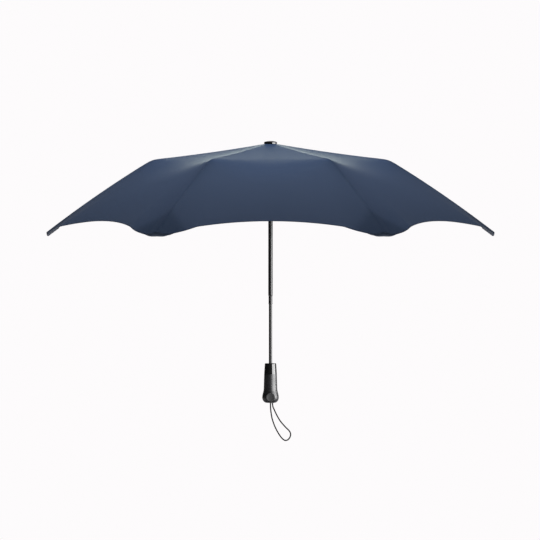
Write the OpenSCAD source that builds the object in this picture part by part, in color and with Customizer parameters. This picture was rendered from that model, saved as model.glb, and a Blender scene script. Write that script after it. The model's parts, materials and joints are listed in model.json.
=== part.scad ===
// Two-fold compact umbrella, drawn open and held upright by its handle.
// Millimetres. The origin is the centre of the handle on the shaft axis, +Z is up,
// rib 1 lies along +X and the push button faces -Y.

/* [Canopy] */
// Height of the fabric at the crown above the handle's centre
apex_z = 535.7; // [520:0.1:550]
// Thickness of the fabric shell
fabric_t = 0.4; // [0.3:0.05:0.7]
// Radius of the fabric corner over a rib's knee
knee_r = 264.5; // [250:0.5:280]
// Drop of that corner below the crown
knee_drop = 35; // [30:0.5:40]
// Radius of the fabric edge over a rib tip
tip_r = 501.6; // [480:0.2:520]
// Drop of the fabric edge at a rib tip below the crown
tip_drop = 197.7; // [190:0.1:205]
// Drop of the hem's lobe beside a rib tip below the crown
lobe_drop = 202; // [195:0.5:210]
// Radius of the hem halfway between two ribs
hem_r = 431.7; // [425:0.1:440]
// Drop of the hem there below the crown
hem_drop = 172.5; // [165:0.5:180]
// Half width of the arched part of the hem between two lobes
arch_half_w = 163.4; // [150:0.2:175]
// Extra radius of the hem where the arch meets the lobe
arch_flare = 19.7; // [15:0.1:25]
// Extra drop of the hem where the arch meets the lobe
arch_drop = 14; // [10:0.5:18]
// Extra radius of the crease halfway between two ribs
crease_out = 13; // [5:0.5:20]
// Extra drop of the crease halfway between two ribs
crease_sag = 12.7; // [5:0.1:18]
// Sag of the fabric between the crown and the knee
roof_sag = 2.2; // [0:0.1:4]
// Bow of the fabric between the knee and the hem
skirt_bow = 5; // [2:0.1:6]
// Radius of the hole at the crown
eyelet_r = 6.4; // [6:0.1:8]

/* [Ribs] */
// Radius of the pivot circle on the crown and on the runner
pivot_r = 10.5; // [10.2:0.1:11]
// Depth of the crown pivots below the fabric
crown_pivot_drop = 5.7; // [5.5:0.1:6.5]
// Depth of a knee pin below the fabric corner
knee_depth = 8; // [7.5:0.1:9]
// Distance of the rib centre lines from the knee pin
knee_offset = 3.2; // [3:0.1:4]
// Width of the inner rib channel
channel_w = 5; // [4.6:0.1:5.4]
// Height of the inner rib channel
channel_h = 4; // [3.6:0.1:4.2]
// Sheet thickness of the inner rib channel
channel_t = 0.6; // [0.5:0.05:0.8]
// Diameter of the outer rib rod
rod_d = 3.2; // [2.8:0.1:3.6]
// Bow of the outer rib rod over its length
rod_bow = 4; // [2:0.1:5]
// Diameter of the moulded socket that holds the rod at the knee
socket_d = 5; // [4.8:0.1:5.2]
// Length of the moulded socket
socket_l = 17; // [14:1:24]
// Width of the blunt tip
tip_w = 14; // [10:0.5:16]
// Thickness of the blunt tip
tip_t = 6.4; // [5.8:0.1:6.6]
// Length of the blunt tip beyond the rod
tip_l = 22; // [18:1:28]
// Diameter of the knee pin
knee_pin_d = 2; // [1.6:0.1:2.2]

/* [Stretchers] */
// Distance from the crown pivot to the stretcher rivet, along the rib
stretcher_reach = 58; // [54:0.5:62]
// Length of a stretcher between its pivots
stretcher_l = 72; // [70:0.5:76]
// Thickness of a stretcher blade
blade_t = 1; // [0.8:0.1:1.2]
// Height of a stretcher blade
blade_h = 4; // [3.6:0.1:4.2]

/* [Shaft] */
// Outer diameter of the upper tube
upper_d = 12.4; // [12.2:0.1:12.6]
// Outer diameter of the middle tube
middle_d = 10; // [9.8:0.1:10.2]
// Outer diameter of the lower tube
lower_d = 7.4; // [7:0.1:7.6]
// Wall of the three tubes
tube_t = 0.5; // [0.4:0.05:0.6]
// Height of the upper tube's lower end
upper_end_z = 368; // [364:1:374]
// Height of the middle tube's lower end
middle_end_z = 177.5; // [170:0.5:190]
// Length of the swaged neck at a tube's lower end
neck_l = 20; // [16:1:24]
// Length of tube kept inside the next one when drawn out
tube_overlap = 28; // [24:1:34]

/* [Handle] */
// Height of the top of the handle
handle_top_z = 44.7; // [40:0.1:48]
// Height of the joint between collar and grip
collar_z = 20.4; // [16:0.1:24]
// Height of the underside of the handle
handle_base_z = -44; // [-48:0.5:-42]
// Diameter of the collar at its top
collar_top_d = 25.6; // [24:0.1:27]
// Diameter of the grip at the collar
waist_d = 28.4; // [27:0.1:30]
// Height where the grip begins to widen into its bulb
flare_z = -11; // [-14:0.5:-6]
// Diameter of the grip there
flare_d = 30.2; // [29:0.1:32]
// Diameter of the grip's bulb
bulb_d = 37; // [36:0.2:40]
// Height of the bulb
bulb_z = -32; // [-34:0.5:-30]
// Diameter of the flat underside
base_d = 15; // [14:0.5:17]
// Diameter of the push button
button_d = 19.4; // [16:0.2:20]
// Height of the push button
button_z = -31.2; // [-31.8:0.1:-29.5]
// Travel of the push button
button_travel = 3; // [2:0.1:3.5]
// Depth of the dish in the button's face
button_dish = 1; // [0.5:0.1:1.5]

/* [Strap] */
// Diameter of the strap cord
strap_d = 2.9; // [2:0.1:3]

/* [Clearances] */
// Gap between pieces that move past each other
gap = 0.3; // [0.2:0.05:0.35]
// Gap between pieces that slide in one another, on radius
slide_gap = 0.1; // [0.05:0.05:0.15]
// Gap between pieces that are fixed in one another, on radius
seat_gap = 0.03; // [0.02:0.01:0.05]

/* [Hidden] */
$fn = 96;
rib_count = 6;
rib_step = 360 / rib_count;
half_step = rib_step / 2;
families = ["inner_rib", "knee_pin", "outer_rib", "rib_tip", "stretcher"];

// Crown
crown_r = 13.2;
crown_z = apex_z - crown_pivot_drop;
crown_top_z = apex_z - fabric_t - 2 * gap;
hub_wall = 1.4;
hub_r = upper_d / 2 + hub_wall;
hub_z = crown_z - 16;
pin_z = hub_z + 4;
flange_h = 9;
ring_d = 1.6;
eye_d = 4.8;
eye_t = 2;
slot_w = eye_t + 2 * gap;
eye_bore_d = ring_d + 2 * gap;
cap_r = 14.5;
cap_h = 6.2;
cap_edge_h = 3;
cap_plug_l = 12;
cap_plug_r = upper_d / 2 - tube_t - slide_gap;
washer_t = 0.5;
cap_z = apex_z + washer_t;

// Inner rib, from the crown pivot to the knee pin, in the plane of one rib
roof_slope = atan(0.107);
skirt_slope = atan(0.6);
bend_slope = (roof_slope + skirt_slope) / 2;
knee_pin_r = knee_r - knee_depth * sin(bend_slope);
knee_pin_z = apex_z - knee_drop - knee_depth * cos(bend_slope);
knee_run = knee_pin_r - pivot_r;
knee_fall = crown_z - knee_pin_z;
knee_span = norm([knee_run, knee_fall]);
inner_l = sqrt(knee_span ^ 2 - knee_offset ^ 2);
inner_a = atan(knee_fall / knee_run) + asin(knee_offset / knee_span);
crimp_l = 6;
ear_t = 0.8;
ear_r = 2.6;
ear_back = 9;
knee_head_d = 1.7 * knee_pin_d;
knee_head_t = 0.6;
knee_play = 0.1;

// Outer rib, from the knee pin to the tip
tip_back = 7;
tip_sink = 1.2;
tip_sleeve_l = 12;
tip_ball_r = tip_r - tip_back;
tip_ball_z = apex_z - tip_drop - tip_sink;
tip_run = tip_ball_r - knee_pin_r;
tip_fall = knee_pin_z - tip_ball_z;
outer_l = norm([tip_run, tip_fall]);
rod_from = 10;
rod_to = outer_l - tip_l;
rod_span = rod_to - rod_from;
rod_turn = 2 * atan(2 * rod_bow / rod_span);
rod_arc_r = rod_span / 2 / sin(rod_turn);
tip_below = knee_offset + tip_l * sin(rod_turn);
outer_a = atan(tip_fall / tip_run) - asin(tip_below / outer_l);
tang_t = channel_w - 2 * ear_t - 2 * gap;

// Stretcher and runner
rivet_r = pivot_r + stretcher_reach * cos(inner_a);
rivet_z = crown_z - stretcher_reach * sin(inner_a);
runner_z = rivet_z - sqrt(stretcher_l ^ 2 - (rivet_r - pivot_r) ^ 2);
stretcher_a = asin((rivet_z - runner_z) / stretcher_l);
blade_y = channel_w / 2 + gap;
fork_from = 9;
fork_l = 7;
rivet_d = 2;
rivet_head_d = 3.6;
rivet_head_t = 0.7;
runner_bore_r = upper_d / 2 + gap;
runner_sleeve_r = runner_bore_r + 1.7;
runner_l = 22;
runner_foot_r = 10.5;
runner_foot_h = 5;

// Shaft
tube_top_z = crown_top_z - 2;
middle_top_z = upper_end_z + neck_l + tube_overlap;
lower_top_z = middle_end_z + neck_l + tube_overlap;
lower_foot_z = -12;
bush_h = 6;
spigot_l = 10;
swage_l = 3;
bead_h = 1.5;
bead_w = 0.3;

// Handle
collar_r = collar_top_d / 2;
waist_r = waist_d / 2;
flare_r = flare_d / 2;
bulb_r = bulb_d / 2;
edge_r = 1.5;
cup_r = middle_d / 2 + 0.6;
cup_depth = 8;
button_rim_y = -bulb_r + 1.2;
button_rim_w = 1.3;
button_edge_r = 0.5;
pocket_y = -2;
spring_r = 4;
spring_wire_d = 1;
spring_turns = 5;
button_back_y = pocket_y - spring_turns * spring_wire_d - button_travel;
strap_hole_r = 3.7;
strap_y = 5;
strap_x = 2;
anchor_h = 6;
strap_top_z = handle_base_z + 4;

// Colours
fabric_c = [0.16, 0.21, 0.30];
gloss_c = [0.05, 0.05, 0.06];
grip_c = [0.17, 0.17, 0.18];
steel_c = [0.55, 0.56, 0.58];
rod_c = [0.10, 0.10, 0.11];

// Points of the wrist strap in its own plane: across, height
strap_route = [
    [0.2, strap_top_z], [0, -52], [1.2, -65.5], [3.6, -79], [8, -92.5], [14.2, -106], [22.3, -119],
    [28.7, -126], [34.2, -128.2], [39.7, -126], [44.2, -119.5], [44.8, -112.5], [41.3, -106], [34.3, -99],
    [22.5, -85.5], [14.4, -72], [8.2, -59], [5.3, -52], [3.8, strap_top_z]
];

// Fabric surface
// A gore runs from rib to rib. Its own axes are s, across the gore, m, out along its middle, and z.
// share is -1 on one rib, 0 in the middle and 1 on the other rib.
function mix(a, b, t) = a + (b - a) * t;
function ease(t) = let (u = max(0, min(1, t))) u * u * (3 - 2 * u);
function bezier(a, b, c, d, t) =
    (1 - t) ^ 3 * a + 3 * t * (1 - t) ^ 2 * b + 3 * t ^ 2 * (1 - t) * c + t ^ 3 * d;
function hermite(a, b, slope_a, slope_b, t) =
    (2 * t ^ 3 - 3 * t ^ 2 + 1) * a + (t ^ 3 - 2 * t ^ 2 + t) * slope_a
    + (3 * t ^ 2 - 2 * t ^ 3) * b + (t ^ 3 - t ^ 2) * slope_b;

tip_s = tip_r * sin(half_step);
tip_m = tip_r * cos(half_step);
lobe_w = tip_s - arch_half_w;
lobe_turn = 1.14;
lobe_slope = 0.24;
nose_from = 0.72;

function arch(share) = min(1, abs(share) * tip_s / arch_half_w);
function lobe(share) = max(0, (abs(share) * tip_s - arch_half_w) / lobe_w);
function hem_m(share) = lobe(share) > 0
    ? hermite(hem_r + arch_flare, tip_m, lobe_slope * lobe_w, -tan(half_step) * lobe_w, lobe(share))
    : hem_r + arch_flare * arch(share) ^ 2;
function hem_fall(share) = hem_drop + arch_drop * arch(share) ^ 2
    + (lobe_drop - hem_drop - arch_drop) * sin(90 * min(1, lobe_turn * lobe(share)))
    - (lobe_drop - tip_drop) * ease((lobe(share) - nose_from) / (1 - nose_from));
function middle(share) = 1 - share ^ 2;

function crown_point(share) = let (a = share * half_step)
    [crown_r * sin(a), crown_r * cos(a), apex_z];
function crease_point(share) = [
    share * knee_r * sin(half_step),
    knee_r * cos(half_step) + crease_out * middle(share),
    apex_z - knee_drop - crease_sag * middle(share)
];
function hem_point(share) = [share * tip_s, hem_m(share), apex_z - hem_fall(share)];

// A hem without arch and lobes, and the hem slid onto the line from the crease to it: the skirt runs
// straight to the slid hem, and flares to the real one close to its edge
function plain_point(share) =
    [share * tip_s, mix(hem_r, tip_m, share ^ 2), apex_z - mix(hem_drop, tip_drop, share ^ 2)];
function slid_point(share) = let (
    step = plain_point(share) - crease_point(share),
    way = step / norm(step)
) plain_point(share) + ((hem_point(share) - plain_point(share)) * way) * way;

// Arc of height h from a to b, and its direction
function arc(a, b, h, t) = mix(a, b, t) + [0, 0, 4 * h * t * (1 - t)];
function arc_way(a, b, h, t) = b - a + [0, 0, 4 * h * (1 - 2 * t)];

function roof(share, t) = arc(crown_point(share), crease_point(share), -roof_sag, t);
function skirt(share, t) = arc(crease_point(share), slid_point(share), skirt_bow, t)
    + t ^ 3 * (hem_point(share) - slid_point(share));

// The fold at the knees rounds the corner between roof and skirt
crease_l_rib = 30;
crease_l_middle = 55;
function crease_l(share) = mix(crease_l_rib, crease_l_middle, middle(share));
function roof_end(share) = 1 - crease_l(share) / norm(crease_point(share) - crown_point(share));
function skirt_start(share) = crease_l(share) / norm(slid_point(share) - crease_point(share));
function fold(share, t) = let (
    a = roof_end(share),
    d = skirt_start(share),
    b = roof(share, a) + (1 - a) * arc_way(crown_point(share), crease_point(share), -roof_sag, a),
    c = skirt(share, d) - d * arc_way(crease_point(share), slid_point(share), skirt_bow, d)
) bezier(roof(share, a), b, c, skirt(share, d), t);
function eyelet(share) = let (a = share * half_step)
    [eyelet_r * sin(a), eyelet_r * cos(a), apex_z];

function meridian(share) = [
    eyelet(share), roof(share, 0), roof(share, 0.5 * roof_end(share)), fold(share, 0), fold(share, 0.5),
    fold(share, 1), skirt(share, mix(skirt_start(share), 1, 0.5)), hem_point(share)
];
function on_gore(p, a) = [p[1] * cos(a) - p[0] * sin(a), p[1] * sin(a) + p[0] * cos(a), p[2]];

gore_columns = 12;
function closer_to_rib(x) = sign(x) * abs(x) ^ 0.75;
canopy_columns = [
    for (g = [0:rib_count - 1]) for (k = [0:gore_columns - 1])
        [for (p = meridian(closer_to_rib(2 * k / gore_columns - 1))) on_gore(p, g * rib_step + half_step)]
];

// Closed shell from columns of points, each lowered by t for the underside
module shell(columns, t) {
    n = len(columns);
    rows = len(columns[0]);
    tops = [for (c = columns) each c];
    bottoms = [for (p = tops) p - [0, 0, t]];
    under = n * rows;
    function at(k, j) = (k % n) * rows + j;
    polyhedron(concat(tops, bottoms), [
        for (k = [0:n - 1]) each concat(
            [for (j = [0:rows - 2]) each [
                [at(k, j), at(k + 1, j), at(k + 1, j + 1)],
                [at(k, j), at(k + 1, j + 1), at(k, j + 1)],
                [under + at(k, j), under + at(k + 1, j + 1), under + at(k + 1, j)],
                [under + at(k, j), under + at(k, j + 1), under + at(k + 1, j + 1)]
            ]],
            [for (j = [0, rows - 1]) let (a = at(k, j), b = at(k + 1, j)) each j == 0
                ? [[a, under + a, under + b], [a, under + b, b]]
                : [[a, under + b, under + a], [a, b, under + b]]]
        )
    ]);
}

// Closed tube of n sides swept along points, kept upright by side
module sweep(points, d, n, side) {
    last = len(points) - 1;
    function along(i) = let (v = points[min(last, i + 1)] - points[max(0, i - 1)]) v / norm(v);
    rings = [
        for (i = [0:last]) let (u = cross(side, along(i)), across = u / norm(u))
            for (k = [0:n - 1]) let (a = 360 * k / n)
                points[i] + d / 2 * (cos(a) * across + sin(a) * cross(along(i), across))
    ];
    polyhedron(rings, concat(
        [[for (k = [0:n - 1]) k]],
        [for (i = [0:last - 1]) for (k = [0:n - 1]) let (k2 = (k + 1) % n) each [
            [i * n + k, (i + 1) * n + k, (i + 1) * n + k2], [i * n + k, (i + 1) * n + k2, i * n + k2]]],
        [[for (k = [n - 1:-1:0]) last * n + k]]
    ));
}

// Smooth points through a hand-chosen route
function spline(p, steps) = [
    for (i = [0:len(p) - 2]) for (k = [0:steps - 1]) let (
        t = k / steps,
        slope_a = (p[i + 1] - p[max(0, i - 1)]) / (i == 0 ? 1 : 2),
        slope_b = (p[min(len(p) - 1, i + 2)] - p[i]) / (i == len(p) - 2 ? 1 : 2)
    ) hermite(p[i], p[i + 1], slope_a, slope_b, t),
    p[len(p) - 1]
];

// Placing
module on_rib(i) { rotate([0, 0, rib_step * (i - 1)]) children(); }
module each_rib() { for (i = [1:rib_count]) on_rib(i) children(); }
module inner_frame() { translate([pivot_r, 0, crown_z]) rotate([0, inner_a, 0]) children(); }
module outer_frame() { translate([knee_pin_r, 0, knee_pin_z]) rotate([0, outer_a, 0]) children(); }
module tip_frame() { outer_frame() translate([rod_to, 0, -knee_offset]) rotate([0, rod_turn, 0]) children(); }
module stretcher_frame() { translate([pivot_r, 0, runner_z]) rotate([0, -stretcher_a, 0]) children(); }
module plate(w) { rotate([90, 0, 0]) linear_extrude(w, center = true) children(); }
module cross_rod(d, l) { rotate([90, 0, 0]) cylinder(d = d, h = l, center = true); }
module bar(from, to, w, h) { translate([from, -w / 2, -h / 2]) cube([to - from, w, h]); }
module lengthways(d, from, to) { translate([from, 0, 0]) rotate([0, 90, 0]) cylinder(d = d, h = to - from); }
module ring(r, d) { rotate_extrude() translate([r, 0]) circle(d = d, $fn = 32); }
module pipe(r, bore, from, to) { translate([0, 0, from]) difference() {
    cylinder(r = r, h = to - from);
    translate([0, 0, -1]) cylinder(r = bore, h = to - from + 2);
} }

// Handle
grip_outline = concat(
    [[waist_r, collar_z]],
    [for (u = [0:0.125:1]) [mix(flare_r, bulb_r, (1 - cos(180 * u)) / 2), mix(flare_z, bulb_z, u)]],
    [for (a = [15:15:90])
        [mix(base_d / 2, bulb_r, cos(a)), bulb_z - (bulb_z - handle_base_z) * sin(a)]],
    [[0, handle_base_z], [0, collar_z]]
);

module facing_front(y, z) { translate([0, y, z]) rotate([90, 0, 0]) children(); }

module handle_grip() { color(grip_c) difference() {
    rotate_extrude() polygon(grip_outline);
    translate([0, 0, lower_foot_z]) cylinder(r = lower_d / 2 + seat_gap, h = collar_z - lower_foot_z + 1);
    facing_front(pocket_y, button_z) cylinder(r = button_d / 2 + gap, h = bulb_r);
    translate([strap_x, strap_y, handle_base_z - 1]) cylinder(r = strap_hole_r, h = 5 + anchor_h);
} }

module handle_collar() { color(gloss_c) difference() {
    rotate_extrude() polygon(concat(
        [[0, collar_z], [waist_r, collar_z]],
        [for (a = [0:30:90]) [collar_r - edge_r * (1 - cos(a)), handle_top_z - edge_r * (1 - sin(a))]],
        [[0, handle_top_z]]
    ));
    translate([0, 0, collar_z - 1]) cylinder(r = lower_d / 2 + seat_gap, h = handle_top_z - collar_z + 2);
    translate([0, 0, handle_top_z - cup_depth]) cylinder(r = cup_r, h = cup_depth + 1);
} }

module push_button() { color(grip_c) facing_front(0, button_z) rotate_extrude() polygon(concat(
    [[0, -button_back_y], [button_d / 2, -button_back_y], [button_d / 2, -button_rim_y - button_edge_r],
        [button_d / 2 - button_edge_r, -button_rim_y]],
    [for (t = [0:0.125:1])
        [(button_d / 2 - button_rim_w) * (1 - t), -button_rim_y - button_dish * (1 - (1 - t) ^ 2)]]
)); }

module button_spring() {
    steps = 12 * spring_turns;
    reach = pocket_y - button_back_y - spring_wire_d;
    coil = [for (k = [0:steps]) let (a = 30 * k)
        [spring_r * cos(a), spring_r * sin(a), spring_wire_d / 2 + reach * k / steps]];
    color(steel_c) facing_front(pocket_y, button_z) sweep(coil, spring_wire_d - 2 * slide_gap, 6, [0, 0, 1]);
}

module strap_anchor() { color(gloss_c) translate([strap_x, strap_y, strap_top_z])
    cylinder(r = strap_hole_r - slide_gap, h = anchor_h); }

module wrist_strap() {
    route = [for (p = spline(strap_route, 3)) [p[0], strap_y, p[1]]];
    color(gloss_c) sweep(route, strap_d, 8, [0, 1, 0]);
}

// Shaft
module lower_tube() { color(gloss_c) pipe(lower_d / 2, lower_d / 2 - tube_t, lower_foot_z, lower_top_z); }

// Collar that rides in the next tube, with a spigot in its own tube
module bush(tube_r, next_bore_r, z) { rotate_extrude() polygon([
    [tube_r - 2.2 * tube_t, z + bush_h], [next_bore_r - slide_gap, z + bush_h],
    [next_bore_r - slide_gap, z], [tube_r - tube_t - seat_gap, z],
    [tube_r - tube_t - seat_gap, z - spigot_l], [tube_r - 2.2 * tube_t, z - spigot_l]
]); }

// Tube drawn down at its lower end to a neck that slides on the next tube
module necked_tube(d, inner_d, end_z, top_z) {
    r = d / 2;
    neck = inner_d / 2 + slide_gap;
    straight_z = end_z + neck_l;
    rotate_extrude() polygon([
        [neck, end_z], [neck + tube_t + bead_w, end_z], [neck + tube_t + bead_w, end_z + bead_h],
        [neck + tube_t, end_z + bead_h], [neck + tube_t, straight_z - swage_l], [r, straight_z],
        [r, top_z], [r - tube_t, top_z], [r - tube_t, straight_z], [neck, straight_z - swage_l]
    ]);
}

module lower_bush() { color(rod_c) bush(lower_d / 2, middle_d / 2 - tube_t, lower_top_z); }
module middle_tube() { color(gloss_c) necked_tube(middle_d, lower_d, middle_end_z, middle_top_z); }
module middle_bush() { color(rod_c) bush(middle_d / 2, upper_d / 2 - tube_t, middle_top_z); }
module upper_tube() { color(gloss_c) difference() {
    necked_tube(upper_d, middle_d, upper_end_z, tube_top_z);
    translate([0, 0, pin_z]) cross_rod(ring_d + 2 * seat_gap, upper_d + 2);
} }

// Crown
module notched_disc(r, from, to, slot_from, slot_to) { difference() {
    translate([0, 0, from]) cylinder(r = r, h = to - from);
    each_rib() translate([hub_r + seat_gap, -slot_w / 2, slot_from]) cube([r, slot_w, slot_to - slot_from]);
} }
module ring_groove(z) { translate([0, 0, z - ring_d / 2 - seat_gap])
    pipe(crown_r + 1, pivot_r - ring_d / 2 - seat_gap, 0, ring_d + 2 * seat_gap); }

module crown() { color(rod_c) difference() {
    union() {
        notched_disc(crown_r, crown_top_z - flange_h, crown_top_z,
            crown_top_z - flange_h - 1, crown_z + eye_d / 2 + gap);
        translate([0, 0, hub_z]) cylinder(r = hub_r, h = crown_top_z - hub_z);
    }
    translate([0, 0, hub_z - 1]) cylinder(r = upper_d / 2 + seat_gap, h = crown_top_z - hub_z + 2);
    ring_groove(crown_z);
    translate([0, 0, pin_z]) cross_rod(ring_d + 2 * seat_gap, 2 * crown_r);
} }
module crown_ring() { color(steel_c) translate([0, 0, crown_z]) ring(pivot_r, ring_d); }
module crown_pin() { color(steel_c) translate([0, 0, pin_z]) cross_rod(ring_d, 2 * hub_r); }
module canopy_washer() { color(fabric_c) pipe(crown_r, eyelet_r, apex_z, cap_z); }
module crown_cap() { color(gloss_c) rotate_extrude() polygon(concat(
    [[0, cap_z - cap_plug_l], [cap_plug_r, cap_z - cap_plug_l], [cap_plug_r, cap_z], [cap_r, cap_z]],
    [for (a = [0:15:90]) [cap_r * cos(a), cap_z + cap_edge_h + (cap_h - cap_edge_h) * sin(a)]]
)); }
module canopy() { color(fabric_c) shell(canopy_columns, fabric_t); }

// Runner
module runner() { color(rod_c) difference() {
    union() {
        notched_disc(crown_r, runner_z - flange_h / 2, runner_z + flange_h / 2,
            runner_z - blade_h / 2 - gap, runner_z + flange_h);
        translate([0, 0, runner_z - runner_l]) cylinder(r = runner_sleeve_r, h = runner_l);
        translate([0, 0, runner_z - runner_l])
            cylinder(r1 = runner_foot_r, r2 = runner_sleeve_r, h = runner_foot_h);
    }
    translate([0, 0, runner_z - runner_l - 1]) cylinder(r = runner_bore_r, h = 2 * runner_l);
    each_rib() translate([hub_r + seat_gap, -slot_w / 2, runner_z - blade_h / 2 - gap])
        cube([crown_r, slot_w, flange_h]);
    ring_groove(runner_z);
} }
module runner_ring() { color(steel_c) translate([0, 0, runner_z]) ring(pivot_r, ring_d); }

// Inner rib: a channel open below, crimped to an eye at the crown and eared at the knee
module inner_rib(i) { color(steel_c) on_rib(i) inner_frame() difference() {
    union() {
        difference() {
            bar(eye_d / 2 + crimp_l, inner_l - ear_back, channel_w, channel_h);
            translate([2 * crimp_l, -channel_w / 2 + channel_t, -channel_h])
                cube([inner_l, channel_w - 2 * channel_t, 1.5 * channel_h - channel_t]);
        }
        bar(0, eye_d / 2 + crimp_l + 1, eye_t, channel_h);
        cross_rod(eye_d, eye_t);
        for (side = [-1, 1]) translate([inner_l, side * (channel_w - ear_t) / 2, 0]) plate(ear_t) {
            translate([0, knee_offset]) circle(r = ear_r);
            polygon([
                [-ear_back - 3, -channel_h / 2], [-0.5, -channel_h / 2], [ear_r, knee_offset],
                [-ear_r, knee_offset], [-ear_back + 1, channel_h / 2], [-ear_back - 3, channel_h / 2]
            ]);
        }
    }
    cross_rod(eye_bore_d, channel_w + 1);
    translate([stretcher_reach, 0, 0]) cross_rod(rivet_d, channel_w + 1);
    translate([inner_l, 0, knee_offset]) cross_rod(knee_pin_d + 2 * seat_gap, channel_w + 1);
} }

module knee_pin(i) { color(steel_c) on_rib(i) inner_frame() translate([inner_l, 0, knee_offset]) {
    cross_rod(knee_pin_d, channel_w + 2 * knee_play);
    for (side = [-1, 1]) translate([0, side * (channel_w / 2 + knee_play + knee_head_t / 2 - 0.05), 0])
        cross_rod(knee_head_d, knee_head_t);
} }

// Outer rib: a bowed rod in a moulded socket whose tang turns between the ears
module outer_rib(i) { color(rod_c) on_rib(i) outer_frame() difference() {
    union() {
        plate(tang_t) {
            circle(r = ear_r);
            polygon([
                [0, ear_r], [rod_from, socket_d / 2 - knee_offset], [rod_from, -socket_d / 2 - knee_offset],
                [0.5 * rod_from, -socket_d / 2 - knee_offset], [-0.7 * ear_r, -0.7 * ear_r]
            ]);
        }
        translate([0, 0, -knee_offset]) {
            lengthways(socket_d, 0.5 * rod_from, socket_l + 5);
            rotate([90, 0, 0]) translate([(rod_from + rod_to) / 2, rod_bow - rod_arc_r])
                rotate([0, 0, 90 - rod_turn]) rotate_extrude(angle = 2 * rod_turn)
                    translate([rod_arc_r, 0]) circle(d = rod_d, $fn = 32);
        }
    }
    cross_rod(knee_pin_d + 2 * slide_gap, channel_w);
} }

// Blunt tip that spreads the corner of the fabric
module rib_tip(i) { color(gloss_c) on_rib(i) tip_frame() difference() {
    union() {
        lengthways(tip_t, -tip_sleeve_l, 2);
        intersection() {
            translate([0, 0, -tip_t / 2]) linear_extrude(tip_t) {
                translate([tip_l - tip_w / 2, 0]) circle(d = tip_w);
                polygon([[-6, -tip_t / 2], [tip_l - tip_w / 2, -tip_w / 2],
                    [tip_l - tip_w / 2, tip_w / 2], [-6, tip_t / 2]]);
            }
            translate([0, 0, tip_w - tip_t / 2]) lengthways(2 * tip_w, -tip_sleeve_l - 1, tip_l + 1);
            translate([0, 0, -tip_w + tip_t / 2]) lengthways(2 * tip_w, -tip_sleeve_l - 1, tip_l + 1);
        }
    }
    lengthways(rod_d + 2 * slide_gap, -tip_sleeve_l - 1, 0.2);
} }

// Stretcher: a tang on the runner, forked into two blades that straddle the inner rib
module stretcher(i) { color(steel_c) on_rib(i) stretcher_frame() difference() {
    union() {
        bar(0, fork_from + 1, eye_t, blade_h);
        cross_rod(blade_h, eye_t);
        bar(fork_from, fork_from + fork_l, 2 * (blade_y + blade_t), blade_h);
        for (side = [-1, 1]) translate([0, side * (blade_y + blade_t / 2), 0]) {
            bar(fork_from, stretcher_l, blade_t, blade_h);
            translate([stretcher_l, 0, 0]) cross_rod(blade_h, blade_t);
            translate([stretcher_l, side * (blade_t + rivet_head_t) / 2, 0])
                cross_rod(rivet_head_d, rivet_head_t);
        }
    }
    cross_rod(eye_bore_d, channel_w);
} }

handle_grip();
handle_collar();
push_button();
button_spring();
strap_anchor();
wrist_strap();
lower_tube();
lower_bush();
middle_tube();
middle_bush();
upper_tube();
crown();
crown_ring();
crown_pin();
crown_cap();
canopy_washer();
canopy();
runner();
runner_ring();
for (i = [1:rib_count]) {
    inner_rib(i);
    knee_pin(i);
    outer_rib(i);
    rib_tip(i);
    stretcher(i);
}
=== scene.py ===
import json
import math

import bpy
import numpy as np
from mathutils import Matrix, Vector

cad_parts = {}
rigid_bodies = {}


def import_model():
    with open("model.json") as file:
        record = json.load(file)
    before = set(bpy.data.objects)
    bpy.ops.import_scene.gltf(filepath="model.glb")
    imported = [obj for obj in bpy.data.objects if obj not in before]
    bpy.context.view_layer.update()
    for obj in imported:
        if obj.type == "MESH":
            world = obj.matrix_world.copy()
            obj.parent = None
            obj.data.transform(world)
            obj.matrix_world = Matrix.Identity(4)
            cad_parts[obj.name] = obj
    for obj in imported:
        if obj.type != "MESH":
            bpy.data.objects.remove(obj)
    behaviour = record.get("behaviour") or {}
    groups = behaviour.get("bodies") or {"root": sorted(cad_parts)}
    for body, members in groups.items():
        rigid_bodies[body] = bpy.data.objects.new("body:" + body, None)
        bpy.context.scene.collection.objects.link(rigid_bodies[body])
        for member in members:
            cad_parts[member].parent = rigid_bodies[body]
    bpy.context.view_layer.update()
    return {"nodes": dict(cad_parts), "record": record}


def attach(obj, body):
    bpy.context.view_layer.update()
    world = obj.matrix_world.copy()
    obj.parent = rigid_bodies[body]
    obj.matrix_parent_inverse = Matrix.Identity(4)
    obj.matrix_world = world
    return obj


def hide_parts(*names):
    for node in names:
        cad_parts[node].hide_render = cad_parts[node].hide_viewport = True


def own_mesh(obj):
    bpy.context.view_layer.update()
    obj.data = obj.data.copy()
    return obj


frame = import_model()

MM = 0.001
nodes = frame["nodes"]
scene = bpy.context.scene
scene.view_settings.view_transform = "Standard"

# The fabric's sizes in mm: its fold is rounder than the solid's, and its surface within 6 mm of it
APEX_Z = 535.7
KNEE_R, KNEE_DROP = 264.5, 35.0
TIP_R, TIP_DROP, LOBE_DROP = 501.6, 197.7, 202.0
HEM_R, HEM_DROP = 431.7, 172.5
ARCH_HALF_W, ARCH_FLARE, ARCH_DROP = 165.0, 19.7, 12.8
CREASE_OUT, CREASE_SAG, CREASE_RIB, CREASE_MIDDLE = 13.0, 12.7, 30.0, 85.0
ROOF_PULL, SKIRT_PULL = 0.7, 0.6  # how far the fold runs into its corner, mid-gore; 1 at the ribs
ROOF_SAG, SKIRT_BOW = 2.2, 5.0
LOBE_TURN, LOBE_SLOPE, NOSE_FROM = 1.14, 0.24, 0.72
CROWN_R, EYELET_R = 13.2, 6.4
SIN_RIB, COS_RIB = math.sin(math.radians(30)), math.cos(math.radians(30))


def aim(obj, target):
    obj.rotation_euler = (Vector(target) - obj.location).to_track_quat("-Z", "Y").to_euler()


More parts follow.
